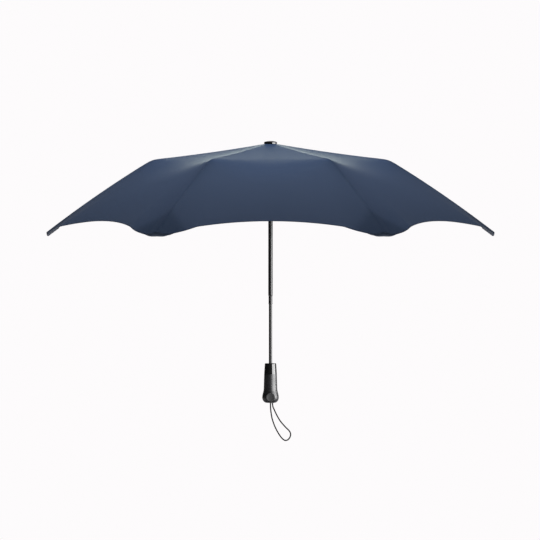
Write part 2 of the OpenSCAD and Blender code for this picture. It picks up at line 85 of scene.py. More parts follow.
def add_object(name, data):
    obj = bpy.data.objects.new(name, data)
    scene.collection.objects.link(obj)
    return obj


# Camera: far off with a long lens and level with the hem, as the photograph has next to no perspective

CAMERA_LENS, CAMERA_SENSOR, CAMERA_FAR = 655, 36, 22
CAMERA_RISE, CAMERA_CENTRE = math.radians(0.35), Vector((-0.0011, 0, 0.2536))

camera = add_object("camera", bpy.data.cameras.new("camera"))
camera.data.lens, camera.data.sensor_width = CAMERA_LENS, CAMERA_SENSOR
camera.data.clip_end = 100
camera.location = CAMERA_CENTRE + CAMERA_FAR * Vector((0, -math.cos(CAMERA_RISE), math.sin(CAMERA_RISE)))
aim(camera, CAMERA_CENTRE)
scene.camera = camera


# Materials

def material(name, **sockets):
    made = bpy.data.materials.new(name)
    made.use_nodes = True
    shader = made.node_tree.nodes["Principled BSDF"]
    for socket, value in sockets.items():
        shader.inputs[socket.replace("_", " ")].default_value = value
    return made


def node(tree, kind, inputs=(), **settings):
    made = tree.nodes.new("ShaderNode" + kind)
    for key, value in settings.items():
        setattr(made, key, value)
    for socket, value in dict(inputs).items():
        if isinstance(value, bpy.types.NodeSocket):
            tree.links.new(value, made.inputs[socket])
        else:
            made.inputs[socket].default_value = value
    return made


def math_node(tree, operation, a, b=0.0):
    return node(tree, "Math", {0: a, 1: b}, operation=operation).outputs[0]


def noise(tree, vector, scale, detail=3.0):
    return node(tree, "TexNoise", {"Vector": vector, "Scale": scale, "Detail": detail}).outputs["Fac"]


def ramp(tree, value, low, high, to_low, to_high):
    return node(tree, "MapRange", {"Value": value, "From Min": low, "From Max": high,
                                   "To Min": to_low, "To Max": to_high}).outputs["Result"]


def blend(tree, share, under, over):
    """One colour over another, as far as the share goes."""
    return node(tree, "Mix", {"Factor": share, 6: under, 7: over}, data_type="RGBA").outputs[2]


PATCH_SCALE = 60.0


def grained(made, dark, light, rough, grain_scale, grain_depth):
    """A moulded or painted surface: colour and gloss vary a little in patches, over a fine grain.
    The scales are per metre and the grain's depth is in mm."""
    tree = made.node_tree
    shader = tree.nodes["Principled BSDF"]
    place = node(tree, "TexCoord").outputs["Object"]
    patch = noise(tree, place, PATCH_SCALE)
    tree.links.new(blend(tree, patch, (*dark, 1), (*light, 1)), shader.inputs["Base Color"])
    tree.links.new(ramp(tree, patch, 0.3, 0.7, *rough), shader.inputs["Roughness"])
    bump = node(tree, "Bump", {"Height": noise(tree, place, grain_scale, 2.0),
                               "Strength": 0.4, "Distance": grain_depth * MM})
    tree.links.new(bump.outputs["Normal"], shader.inputs["Normal"])
    return made


# The weave and the sewing, in mm: rows are counted from the rib or from the hem
THREAD, STITCH, STITCH_SHARE, STITCH_HALF_W = 0.45, 3.2, 0.72, 0.3
SEAM_ROW_A, SEAM_ROW_B, HEM_ROW = 1.6, 3.4, 7.0
# The hem band and the width of the painted shade at the hem's edge, then that shade's strength, the stitches'
# darkening and sinking, and the patches' scale
HEM_BAND, HEM_SHADE_W = 8.0, 3.0
EDGE_PAINTED_SHADE, STITCH_DARK, STITCH_SUNK, CLOTH_PATCH_SCALE = 0.7, 0.5, 0.6, 9.0
CLOTH_DARK, CLOTH_LIGHT = (0.0285, 0.053, 0.111, 1), (0.0325, 0.058, 0.119, 1)
# Painted shade: the first colour below darkens the tip corners, the seams below the knees and the tip
# pockets; the second is the stitches' thread, and painted shade at the hem's edge
CLOTH_PAINTED_SHADE, CLOTH_STITCH_AND_SHADE = (0.0190, 0.0395, 0.087, 1), (0.016, 0.028, 0.060, 1)
# Painted light: pale, as if lit from the floor below, under the tip pockets
PAINTED_UNDERLIGHT_COLOUR = (0.36, 0.39, 0.44, 1)


def fabric():
    """Fine plain weave, with two rows of stitches beside each rib and one above the hem. It is darkened with
    painted shade in the corners at the rib tips, along the seams below the knees, on the tip pockets and at
    the hem's edge, and made pale with painted light from the floor under the tip pockets."""
    made = material("fabric", Specular_IOR_Level=0.5)
    tree = made.node_tree
    shader = tree.nodes["Principled BSDF"]
    cloth = node(tree, "UVMap", uv_map="cloth").outputs["UV"]
    seam = node(tree, "Attribute", attribute_name="seam").outputs["Fac"]
    hem = node(tree, "Attribute", attribute_name="hem").outputs["Fac"]
    lining = node(tree, "Attribute", attribute_name="lining").outputs["Fac"]
    doubled = node(tree, "Attribute", attribute_name="doubled").outputs["Fac"]
    across = node(tree, "SeparateXYZ", {0: cloth}).outputs
    threads = []
    for axis in (0, 1):
        turn = math_node(tree, "MULTIPLY", across[axis], 2 * math.pi / (THREAD * MM))
        threads.append(math_node(tree, "SINE", turn))
    weave = math_node(tree, "MULTIPLY", *threads)
    stitch_on = math_node(tree, "LESS_THAN", math_node(tree, "FRACT", math_node(
        tree, "MULTIPLY", across[1], 1 / (STITCH * MM))), STITCH_SHARE)
    rows = []
    for distance, place in ((seam, SEAM_ROW_A), (seam, SEAM_ROW_B), (hem, HEM_ROW)):
        off = math_node(tree, "ABSOLUTE", math_node(tree, "SUBTRACT", distance, place))
        rows.append(math_node(tree, "LESS_THAN", off, STITCH_HALF_W))
    stitched = math_node(tree, "MULTIPLY", stitch_on, math_node(
        tree, "MAXIMUM", math_node(tree, "MAXIMUM", rows[0], rows[1]), rows[2]))
    band = math_node(tree, "LESS_THAN", hem, HEM_BAND)
    # Painted shade along the hem's edge
    edge = math_node(tree, "MULTIPLY", math_node(tree, "LESS_THAN", hem, HEM_SHADE_W), EDGE_PAINTED_SHADE)
    patch = noise(tree, node(tree, "TexCoord").outputs["Object"], CLOTH_PATCH_SCALE)
    single = blend(tree, patch, CLOTH_DARK, CLOTH_LIGHT)
    # Painted shade, darker in the corners at the rib tips, along the seams below the knees and on the tip
    # pockets
    ground = blend(tree, doubled, single, CLOTH_PAINTED_SHADE)
    dark = math_node(tree, "MAXIMUM", math_node(tree, "MULTIPLY", stitched, STITCH_DARK), edge)
    # Stitches in dark thread, and painted shade at the hem's edge
    sewn = blend(tree, dark, ground, CLOTH_STITCH_AND_SHADE)
    # Painted light from the floor makes the tip pockets pale underneath
    tree.links.new(blend(tree, lining, sewn, PAINTED_UNDERLIGHT_COLOUR), shader.inputs["Base Color"])
    tree.links.new(ramp(tree, weave, -1, 1, 0.55, 0.47), shader.inputs["Roughness"])
    fine = node(tree, "Bump", {"Height": weave, "Strength": 0.12, "Distance": 0.04 * MM})
    sewing = math_node(tree, "ADD", math_node(tree, "MULTIPLY", stitched, -STITCH_SUNK), band)
    coarse = node(tree, "Bump", {"Height": sewing, "Strength": 0.4, "Distance": 0.3 * MM,
                                 "Normal": fine.outputs["Normal"]})
    tree.links.new(coarse.outputs["Normal"], shader.inputs["Normal"])
    return made


STRANDS_ALONG, STRANDS_ROUND = 110, 4


def webbing():
    """Braided cord: slanting strands both ways round."""
    made = material("strap", Specular_IOR_Level=0.04)
    tree = made.node_tree
    shader = tree.nodes["Principled BSDF"]
    run = node(tree, "SeparateXYZ", {0: node(tree, "TexCoord").outputs["UV"]}).outputs
    along = math_node(tree, "MULTIPLY", run[0], 2 * math.pi * STRANDS_ALONG)
    round_ = math_node(tree, "MULTIPLY", run[1], 2 * math.pi * STRANDS_ROUND)
    strands = math_node(tree, "MULTIPLY", math_node(tree, "SINE", math_node(tree, "ADD", along, round_)),
                        math_node(tree, "SINE", math_node(tree, "SUBTRACT", along, round_)))
    tree.links.new(blend(tree, ramp(tree, strands, -1, 1, 0, 1), (0.003, 0.003, 0.004, 1),
                         (0.008, 0.008, 0.009, 1)), shader.inputs["Base Color"])
    tree.links.new(ramp(tree, strands, -1, 1, 0.7, 0.5), shader.inputs["Roughness"])
    bump = node(tree, "Bump", {"Height": strands, "Strength": 0.3, "Distance": 0.06 * MM})
    tree.links.new(bump.outputs["Normal"], shader.inputs["Normal"])
    return made


finishes = {
    "grip": grained(material("grip", Specular_IOR_Level=0.46), (0.004, 0.004, 0.005), (0.007, 0.007, 0.008),
                    (0.40, 0.46), 2500.0, 0.004),
    "button": grained(material("button", Specular_IOR_Level=0.2), (0.022, 0.022, 0.023),
                      (0.028, 0.028, 0.029), (0.5, 0.56), 2500.0, 0.004),
    "gloss": grained(material("gloss", Specular_IOR_Level=0.42), (0.004, 0.004, 0.004), (0.006, 0.006, 0.006),
                     (0.07, 0.11), 400.0, 0.0002),
    "moulding": grained(material("moulding", Specular_IOR_Level=0.4), (0.014, 0.014, 0.015),
                        (0.020, 0.020, 0.021), (0.38, 0.46), 2500.0, 0.004),
    "shaft": grained(material("shaft", Specular_IOR_Level=0.24), (0.006, 0.006, 0.006), (0.009, 0.009, 0.009),
                     (0.24, 0.30), 2500.0, 0.0005),
    "spring": grained(material("spring", Metallic=1.0), (0.45, 0.45, 0.46), (0.56, 0.56, 0.57),
                      (0.25, 0.35), 2000.0, 0.002),
    "wire": grained(material("wire", Metallic=1.0), (0.40, 0.40, 0.41), (0.50, 0.50, 0.51),
                    (0.28, 0.38), 2000.0, 0.002),
    "channel": grained(material("channel", Specular_IOR_Level=0.5), (0.018, 0.018, 0.020),
                       (0.028, 0.028, 0.030), (0.34, 0.44), 2000.0, 0.002),
    "rod": grained(material("rod", Specular_IOR_Level=0.5), (0.012, 0.012, 0.013), (0.020, 0.020, 0.021),
                   (0.30, 0.40), 2000.0, 0.002),
    "tip": grained(material("tip", Specular_IOR_Level=0.45), (0.012, 0.013, 0.016), (0.017, 0.018, 0.022),
                   (0.36, 0.44), 2500.0, 0.004),
    "fabric": fabric(),
    "strap": webbing(),
}

for subpart in frame["record"]["subparts"]:
    slots = nodes[subpart["node"]].data.materials
    slots.clear()
    slots.append(finishes[subpart["material_slot"]])


# Wrist strap: one cord from the grip's base, down, round and back, by points (x, z) in mm

STRAP_D, STRAP_X, STRAP_Y, STRAP_EXIT_Z = 2.9, 0.1, 5.0, -44.0
strap_route = [(0.2, -40), (0, -52), (1.2, -65.5), (3.6, -79), (8, -92.5), (14.2, -106), (22.3, -119),
               (28.7, -126), (34.2, -128.2), (39.7, -126), (44.2, -119.5), (44.8, -112.5), (41.3, -106),
               (34.3, -99), (22.5, -85.5), (14.4, -72), (8.2, -59), (5.3, -52), (3.8, -40)]


def through(points, steps):
    """Points on a smooth curve through the given ones."""
    p = np.array(points, float)
    p = np.vstack([2 * p[0] - p[1], p, 2 * p[-1] - p[-2]])
    found = []
    for a, b, c, d in zip(p, p[1:], p[2:], p[3:]):
        for t in np.arange(steps) / steps:
            found.append(0.5 * (2 * b + (c - a) * t + (2 * a - 5 * b + 4 * c - d) * t * t
                                + (3 * b - a - 3 * c + d) * t ** 3))
    return np.array(found + [p[-2]])


line = through(strap_route, 8)
curve = bpy.data.curves.new("wrist_strap_cord", "CURVE")
curve.dimensions = "3D"
curve.bevel_depth, curve.bevel_resolution = STRAP_D / 2 * MM, 5
curve.use_fill_caps = True
spline = curve.splines.new("POLY")
spline.points.add(len(line) - 1)
for point, (x, z) in zip(spline.points, line):
    point.co = (x * MM, STRAP_Y * MM, z * MM, 1)
spline.use_smooth = True
strap = add_object("wrist_strap_cord", curve)
curve.materials.append(finishes["strap"])
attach(strap, "handle")
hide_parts("wrist_strap")


# Grip: turned from its outline, with the button's pocket and the strap's hole cut into it

COLLAR_Z, WAIST_R = 20.4, 14.2
FLARE_Z, FLARE_R = -11.0, 15.1
BULB_Z, BULB_R = -32.0, 18.5
BASE_Z, BASE_R = -44.0, 7.5
BUTTON_Z, POCKET_R, POCKET_Y = -31.2, 10.0, -2.0
HOLE_X, HOLE_R, HOLE_TOP = 2.0, 3.7, -34.0
GRIP_EDGE, POCKET_CUT_L, HOLE_CUT_PAST = 0.3, 30.0, 2.0
NEAR, UPRIGHT, FLAT = 0.1, 0.3, 0.999  # how close a face is to a cut's wall, and how it lies


def ring_mesh(name, outline, turns):
    """A closed mesh turned round Z from points (radius, height) in mm, listed from the top down."""
    angles = np.arange(turns) * 2 * math.pi / turns
    verts = [(r * math.cos(a) * MM, r * math.sin(a) * MM, z * MM) for r, z in outline for a in angles]
    faces = [tuple(range(turns)), tuple(range(len(verts) - 1, len(verts) - turns - 1, -1))]
    for row in range(len(outline) - 1):
        for k in range(turns):
            a, b = row * turns + k, row * turns + (k + 1) % turns
            faces.append((a, a + turns, b + turns, b))
    mesh = bpy.data.meshes.new(name)
    mesh.from_pydata(verts, [], faces)
    return mesh


def grip_outline():
    waist = [(WAIST_R - GRIP_EDGE, COLLAR_Z)]
    for t in np.linspace(0, 1, 8):
        waist.append((WAIST_R + (FLARE_R - WAIST_R) * t, COLLAR_Z - GRIP_EDGE
                      + (FLARE_Z - COLLAR_Z + GRIP_EDGE) * t))
    flare = [(FLARE_R + (BULB_R - FLARE_R) * (1 - math.cos(math.pi * t)) / 2,
              FLARE_Z + (BULB_Z - FLARE_Z) * t) for t in np.linspace(0, 1, 25)[1:]]
    base = [(BASE_R + (BULB_R - BASE_R) * math.cos(a), BULB_Z + (BASE_Z - BULB_Z) * math.sin(a))
            for a in np.radians(np.linspace(0, 90, 19))[1:]]
    return np.array(waist + flare + base)


def grip_normal(p, flat, outline):
    """The true normal of the face that the point p, in mm, belongs to, where flat is the facet's own one."""
    from_pocket = np.array([p[0], 0, p[2] - BUTTON_Z])
    from_hole = np.array([p[0] - HOLE_X, p[1] - STRAP_Y, 0])
    if p[1] < POCKET_Y + NEAR and abs(flat[1]) < UPRIGHT and np.linalg.norm(from_pocket) < POCKET_R + NEAR:
        return -from_pocket
    if abs(flat[2]) < UPRIGHT and np.linalg.norm(from_hole) < HOLE_R + NEAR:
        return -from_hole
    if abs(flat[1]) > FLAT or abs(flat[2]) > FLAT:
        return flat
    slope = np.gradient(outline, axis=0)
    height = -outline[:, 1]
    out = np.interp(-p[2], height, -slope[:, 1])
    up = np.interp(-p[2], height, slope[:, 0])
    r = math.hypot(p[0], p[1])
    return np.array([out * p[0] / r, out * p[1] / r, up])


def grip():
    outline = grip_outline()
    pocket_outline = [(POCKET_R, POCKET_CUT_L), (POCKET_R, 0)]
    hole_outline = [(HOLE_R, HOLE_TOP), (HOLE_R, BASE_Z - HOLE_CUT_PAST)]
    body = add_object("grip_body", ring_mesh("grip_body", outline, 128))
    pocket = add_object("pocket_cutter", ring_mesh("pocket_cutter", pocket_outline, 96))
    pocket.location = (0, POCKET_Y * MM, BUTTON_Z * MM)
    pocket.rotation_euler = (math.radians(90), 0, 0)
    hole = add_object("hole_cutter", ring_mesh("hole_cutter", hole_outline, 48))
    hole.location = (HOLE_X * MM, STRAP_Y * MM, 0)
    for cutter in (pocket, hole):
        cut = body.modifiers.new("cut", "BOOLEAN")
        cut.object, cut.operation, cut.solver = cutter, "DIFFERENCE", "EXACT"
    mesh = bpy.data.meshes.new_from_object(body.evaluated_get(bpy.context.evaluated_depsgraph_get()))
    for scratch in (body, pocket, hole):
        bpy.data.objects.remove(scratch)
    mesh.name = "grip_shell"
    mesh.polygons.foreach_set("use_smooth", [True] * len(mesh.polygons))
    normals = [(0.0, 0.0, 1.0)] * len(mesh.loops)
    for polygon in mesh.polygons:
        for corner in polygon.loop_indices:
            p = np.array(mesh.vertices[mesh.loops[corner].vertex_index].co) / MM
            n = grip_normal(p, np.array(polygon.normal), outline)
            normals[corner] = tuple(n / np.linalg.norm(n))
    mesh.normals_split_custom_set(normals)
    obj = add_object("grip_shell", mesh)
    mesh.materials.clear()
    mesh.materials.append(finishes["grip"])
    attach(obj, "handle")
    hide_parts("handle_grip")
    return obj


grip_shell = grip()


# Button spring: a coil in the button's pocket

SPRING_R, WIRE_D, SPRING_TURNS, BUTTON_TRAVEL = 4.0, 0.7, 5, 3.0
PRESSED_PITCH, SPRING_GAP = 1.0, 0.5


def tube_mesh(name, points, diameter):
    """A smooth round tube through points in mm, as a mesh with closed ends."""
    path = bpy.data.curves.new(name, "CURVE")
    path.dimensions = "3D"
    path.bevel_depth, path.bevel_resolution, path.use_fill_caps = diameter / 2 * MM, 4, True
    run = path.splines.new("POLY")
    run.points.add(len(points) - 1)
    for point, place in zip(run.points, points):
        point.co = (*(np.array(place) * MM), 1)
    holder = add_object(name, path)
    mesh = bpy.data.meshes.new_from_object(holder.evaluated_get(bpy.context.evaluated_depsgraph_get()))
    bpy.data.objects.remove(holder)
    mesh.polygons.foreach_set("use_smooth", [True] * len(mesh.polygons))
    return mesh


def spring():
    pressed_l = SPRING_TURNS * PRESSED_PITCH
    reach = pressed_l + BUTTON_TRAVEL - 2 * SPRING_GAP
    angles = np.linspace(0, 2 * math.pi * SPRING_TURNS, 24 * SPRING_TURNS + 1)
    coil = [(SPRING_R * math.cos(a), POCKET_Y - SPRING_GAP - reach * a / angles[-1],
             BUTTON_Z + SPRING_R * math.sin(a)) for a in angles]
    obj = add_object("button_coil", tube_mesh("button_coil", coil, WIRE_D))
    obj.data.materials.append(finishes["spring"])
    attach(obj, "handle")
    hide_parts("button_spring")
    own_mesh(obj)


spring()


# Canopy: one stretched surface, cut into the pieces that ride on each rib when it folds

def mix(a, b, t):
    return a + (b - a) * t


def ease(t):
    t = np.clip(t, 0, 1)
    return t * t * (3 - 2 * t)


def arc(a, b, height, t):
    """A point on the arc of the given height from a to b, and its direction."""
    up = np.array([0, 0, 4 * height])
    return mix(a, b, t) + up * t * (1 - t), b - a + up * (1 - 2 * t)


def hem_line(share):
    """Out along the middle of the gore, and down from the apex: an arch, then a lobe to the tip."""
    half_w = TIP_R * SIN_RIB
    lobe_w = half_w - ARCH_HALF_W
    arch = np.minimum(1, share * half_w / ARCH_HALF_W)
    t = np.maximum(0, (share * half_w - ARCH_HALF_W) / lobe_w)
    out_a, out_b = HEM_R + ARCH_FLARE, TIP_R * COS_RIB
    slope_a, slope_b = LOBE_SLOPE * lobe_w, -SIN_RIB / COS_RIB * lobe_w
    lobe = (out_a * (2 * t ** 3 - 3 * t ** 2 + 1) + slope_a * (t ** 3 - 2 * t ** 2 + t)
            + out_b * (3 * t ** 2 - 2 * t ** 3) + slope_b * (t ** 3 - t ** 2))
    out = np.where(t > 0, lobe, HEM_R + ARCH_FLARE * arch ** 2)
    fall = (HEM_DROP + ARCH_DROP * arch ** 2 + (LOBE_DROP - HEM_DROP - ARCH_DROP)
            * np.sin(np.radians(90) * np.minimum(1, LOBE_TURN * t))
            - (LOBE_DROP - TIP_DROP) * ease((t - NOSE_FROM) / (1 - NOSE_FROM)))
    return out, fall


def gore(share, v):
    """Half a gore, seen from its rib: share 0 is the gore's middle and 1 the rib; v 0 to 1 is the roof,
    1 to 2 the fold at the knees and 2 to 3 the skirt. Gives out along the rib, off it, and height, in mm."""
    share, v = np.broadcast_arrays(np.asarray(share, float), np.asarray(v, float))
    middle = 1 - share ** 2
    out, fall = hem_line(share)
    turn = share * np.radians(30)
    crown = np.stack([CROWN_R * np.sin(turn), CROWN_R * np.cos(turn), np.full_like(share, APEX_Z)], -1)
    crease = np.stack([share * KNEE_R * SIN_RIB, KNEE_R * COS_RIB + CREASE_OUT * middle,
                       APEX_Z - KNEE_DROP - CREASE_SAG * middle], -1)
    hem = np.stack([share * TIP_R * SIN_RIB, out, APEX_Z - fall], -1)
    plain = np.stack([share * TIP_R * SIN_RIB, mix(HEM_R, TIP_R * COS_RIB, share ** 2),
                      APEX_Z - mix(HEM_DROP, TIP_DROP, share ** 2)], -1)
    way = plain - crease
    way /= np.linalg.norm(way, axis=-1, keepdims=True)
    slid = plain + np.sum((hem - plain) * way, -1, keepdims=True) * way
    reach = mix(CREASE_RIB, CREASE_MIDDLE, middle)
    roof_end = (1 - reach / np.linalg.norm(crease - crown, axis=-1))[..., None]
    skirt_start = (reach / np.linalg.norm(slid - crease, axis=-1))[..., None]
    roof = arc(crown, crease, -ROOF_SAG, roof_end * np.clip(v, 0, 1)[..., None])[0]
    t = mix(skirt_start, 1, np.clip(v - 2, 0, 1)[..., None])
    skirt = arc(crease, slid, SKIRT_BOW, t)[0] + t ** 3 * (hem - slid)
    before, before_way = arc(crown, crease, -ROOF_SAG, roof_end)
    after, after_way = arc(crease, slid, SKIRT_BOW, skirt_start)
    after = after + skirt_start ** 3 * (hem - slid)
    after_way = after_way + 3 * skirt_start ** 2 * (hem - slid)
    t = np.clip(v - 1, 0, 1)[..., None]
    roof_pull = mix(1, ROOF_PULL, middle)[..., None] * (1 - roof_end)
    skirt_pull = mix(1, SKIRT_PULL, middle)[..., None] * skirt_start
    fold = ((1 - t) ** 3 * before + 3 * t * (1 - t) ** 2 * (before + roof_pull * before_way)
            + 3 * t ** 2 * (1 - t) * (after - skirt_pull * after_way) + t ** 3 * after)
    p = np.where((v <= 1)[..., None], roof, np.where((v <= 2)[..., None], fold, skirt))
    s, m, z = np.moveaxis(p, -1, 0)
    return np.stack([s * SIN_RIB + m * COS_RIB, m * SIN_RIB - s * COS_RIB, z], -1)


MIDDLE_NORMAL = np.array([-SIN_RIB, COS_RIB, 0.0])
SHARES = np.linspace(0, 1, 600)


def gore_normal(share, v):
    """The normal, from small steps both ways. At the gore's middle it lies in the plane of symmetry."""
    step = 0.004
    across = gore(np.minimum(share + step, 1), v) - gore(np.maximum(share - step, 0), v)
    down = gore(share, np.minimum(v + 4 * step, 3)) - gore(share, np.maximum(v - 4 * step, 0))
    n = np.cross(across, down)
    n *= np.sign(n[..., 2:])
    at_middle = (share < 1e-6)[..., None]
    n = np.where(at_middle, n - (n @ MIDDLE_NORMAL)[..., None] * MIDDLE_NORMAL, n)
    return n / np.linalg.norm(n, axis=-1, keepdims=True)


def share_off_rib(v, off):
    """The shares at which the rows v are so many mm off the rib's plane; the middle where they never are."""
    return np.array([np.interp(-o, -gore(SHARES, r)[:, 1], SHARES) for r, o in zip(v, off)])


def placed(rib, side, p):
    """Points or directions seen from a rib, turned to that rib's place on the left or right of it."""
    angle = math.radians(60 * (rib - 1))
    radial = np.array([math.cos(angle), math.sin(angle), 0])
    across = np.array([-math.sin(angle), math.cos(angle), 0])
    return (p[..., :1] * radial + side * p[..., 1:2] * across + p[..., 2:] * np.array([0, 0, 1.0]))


def cloth(name, points, normals, body, seam, hem, doubled=0.0, lining=0.0, flip=False, cut=None):
    """A grid of points in mm as a sheet with its own normals, its cloth coordinates, its sewing distances,
    how far painted shade darkens it and how far painted light from the floor below makes it pale."""
    rows, columns = points.shape[:2]
    index = np.arange(rows * columns).reshape(rows, columns)
    quads = np.stack([index[:-1, :-1], index[1:, :-1], index[1:, 1:], index[:-1, 1:]], -1).reshape(-1, 4)
    if flip:
        quads = quads[:, ::-1]
    mesh = bpy.data.meshes.new(name)
    mesh.from_pydata((points.reshape(-1, 3) * MM).tolist(), [], quads.tolist())
    mesh.polygons.foreach_set("use_smooth", [True] * len(mesh.polygons))
    run = np.cumsum(np.vstack([np.zeros((1, columns)), np.linalg.norm(np.diff(points, axis=0), axis=-1)]), 0)
    width = np.cumsum(np.hstack([np.zeros((rows, 1)), np.linalg.norm(np.diff(points, axis=1), axis=-1)]), 1)
    flat = np.stack([width, run], -1).reshape(-1, 2) * MM
    layer = mesh.uv_layers.new(name="cloth")
    corners = np.zeros(len(mesh.loops), np.int32)
    mesh.loops.foreach_get("vertex_index", corners)
    layer.data.foreach_set("uv", flat[corners].astype(np.float32).ravel())
    for key, value in (("seam", seam), ("hem", hem), ("doubled", doubled), ("lining", lining)):
        attribute = mesh.attributes.new(key, "FLOAT", "POINT")
        spread = np.broadcast_to(value, (rows, columns)).astype(np.float32)
        attribute.data.foreach_set("value", spread.ravel())
    mesh.normals_split_custom_set_from_vertices(normals.reshape(-1, 3).tolist())
    obj = add_object(name, mesh)
    mesh.materials.append(finishes["fabric"])
    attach(obj, body)
    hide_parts("canopy")
    return obj


STRIP_W, STRIP_PROUD, STRIP_EDGE, STRIP_RISE = 6.0, 0.3, 1.0, 1.5
FAR = 1000.0  # mm, where there is no sewing near
POCKET_W, POCKET_DEPTH, POCKET_RUN, POCKET_POWER, POCKET_GAP = 41.0, 11.3, 260.0, 1.8, 0.2
# The pocket's nose, and where and how softly the painted light under it comes in
POCKET_NOSE, UNDERLIGHT_FROM, UNDERLIGHT_SOFT = 6.0, 0.65, 0.3
# How far painted shade reaches, in mm, into the corner at each rib's tip and beside the seam from the knee
# down, and how softly it ends
CORNER_SHADE_RUN, CORNER_SHADE_W, CORNER_SHADE_SOFT = 82.0, 84.0, 0.3
SEAM_SHADE_RUN, SEAM_SHADE_W, SEAM_SHADE_EDGE = 150.0, 34.0, 10.0
roof_rows = np.concatenate([np.linspace(0, 1, 12), 1 + np.linspace(0, 0.5, 6)[1:]])
skirt_rows = np.concatenate([1 + np.linspace(0.5, 1, 6)[:-1], 2 + np.linspace(0, 1, 18)])
gore_columns = np.linspace(0, 1, 22) ** 0.8
strip_columns = np.array([-1, -0.7, -0.45, -0.2, 0, 0.2, 0.45, 0.7, 1])
# Each row of the tip pocket, in mm from the hem
pocket_rows = np.array([33, 29, 25, 21, 17, 13, 10, 7.5, 5.5, 4, 2.8, 1.8, 1, 0.5, 0.15, 0])


def hem_distance(points, v):
    """How far each point is from the last row, in mm, measured down the cloth; far off for the roof."""
    if v[-1] < 3:
        return np.full(points.shape[:2], FAR)
    steps = np.linalg.norm(np.diff(points, axis=0), axis=-1)
    return np.vstack([np.cumsum(steps[::-1], 0)[::-1], np.zeros((1, points.shape[1]))])


def painted_shade_share(points):
    """How far painted shade darkens the cloth, from 0 to 1: in the corner at the rib's tip, and in a band
    that runs along the seam from the knee down."""
    off = np.abs(points[..., 1])
    knee, tip = gore(np.ones(2), np.array([1.5, 3.0]))
    to_tip = np.hypot(points[..., 0] - tip[0], points[..., 2] - tip[2])
    to_knee = np.hypot(points[..., 0] - knee[0], points[..., 2] - knee[2])
    corner = ease((1 - to_tip / CORNER_SHADE_RUN - off / CORNER_SHADE_W) / CORNER_SHADE_SOFT + 0.5)
    seam_shade = (1 - np.minimum(1, off / SEAM_SHADE_W)) ** 2 * ease(1 - to_knee / SEAM_SHADE_RUN)
    return np.maximum(corner, seam_shade * ease((points[..., 0] - knee[0]) / SEAM_SHADE_EDGE + 0.5))


def strip_half_width(v):
    return np.minimum(STRIP_W, 0.5 * gore(np.zeros_like(v), v)[:, 1])


def gather(obj):
    """Gives the piece a mesh of its own."""
    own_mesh(obj)


def half_gore(rib, side, part, v, body):
    edge = share_off_rib(v, strip_half_width(v))
    share = edge[:, None] * gore_columns[None, :]
    rows = np.broadcast_to(v[:, None], share.shape)
    p, n = gore(share, rows), gore_normal(share, rows)
    name = f"canopy_{part}_{rib}_{'left' if side > 0 else 'right'}"
    obj = cloth(name, placed(rib, side, p), placed(rib, side, n), body, p[..., 1], hem_distance(p, v),
                painted_shade_share(p), flip=side > 0)
    gather(obj)


def rib_strip(rib, part, v, body):
    """The felled seam over a rib, a little proud of the cloth."""
    off = strip_half_width(v)[:, None] * strip_columns[None, :]
    share = np.stack([share_off_rib(v, np.abs(off[:, k])) for k in range(off.shape[1])], 1)
    rows = np.broadcast_to(v[:, None], share.shape)
    p, n = gore(share, rows), gore_normal(share, rows)
    n[:, strip_columns == 0, 1] = 0
    n /= np.linalg.norm(n, axis=-1, keepdims=True)
    lift = STRIP_PROUD * np.clip((STRIP_W - STRIP_EDGE - np.abs(off)) / STRIP_RISE, 0, 1)
    p = p + lift[..., None] * n
    sides = np.where(strip_columns < 0, -1.0, 1.0)[None, :, None]
    p[..., 1:2] *= sides
    n[..., 1:2] *= sides
    obj = cloth(f"canopy_seam_{part}_{rib}", placed(rib, 1, p), placed(rib, 1, n), body, np.abs(off),
                hem_distance(p, v), painted_shade_share(p))
    gather(obj)


def tip_pocket(rib):
    """The cloth sewn round a blunt rib tip, from below, made pale with painted light from the floor
    underneath.
    """
    v = 3 - pocket_rows / POCKET_RUN
    off = POCKET_W * np.linspace(-1, 1, 29)
    share = np.stack([share_off_rib(v, np.full(len(v), abs(o))) for o in off], 1)
    p = gore(share, np.broadcast_to(v[:, None], share.shape))
    p[..., 1] *= np.where(off < 0, -1.0, 1.0)
    depth = POCKET_DEPTH * np.sqrt(1 - np.maximum(0, 1 - pocket_rows / POCKET_NOSE) ** 2)
    bulge = (1 - (off / POCKET_W) ** 2) ** POCKET_POWER
    p[..., 2] -= POCKET_GAP + depth[:, None] * bulge[None, :]
    n = np.cross(np.gradient(p, axis=0), np.gradient(p, axis=1))
    n *= np.where(n[..., 2:] > 0, -1.0, 1.0)
    n /= np.linalg.norm(n, axis=-1, keepdims=True)
    # Painted light from the floor: pale across the pocket's underside, fading out towards its sides and its
    # nose
    lining = ease((bulge - UNDERLIGHT_FROM) / UNDERLIGHT_SOFT)[None, :] * ease(pocket_rows / POCKET_NOSE)[:, None]
    # The whole pocket is darkened with painted shade
    obj = cloth(f"canopy_tip_pocket_{rib}", placed(rib, 1, p), placed(rib, 1, n), f"outer_rib_{rib}",
                FAR, FAR, 1.0, lining, flip=True)
    gather(obj)


for rib in range(1, 7):
    for side in (1, -1):
        half_gore(rib, side, "roof", roof_rows, f"inner_rib_{rib}")
        half_gore(rib, side, "skirt", skirt_rows, f"outer_rib_{rib}")
    rib_strip(rib, "roof", roof_rows, f"inner_rib_{rib}")
    rib_strip(rib, "skirt", skirt_rows, f"outer_rib_{rib}")
    tip_pocket(rib)

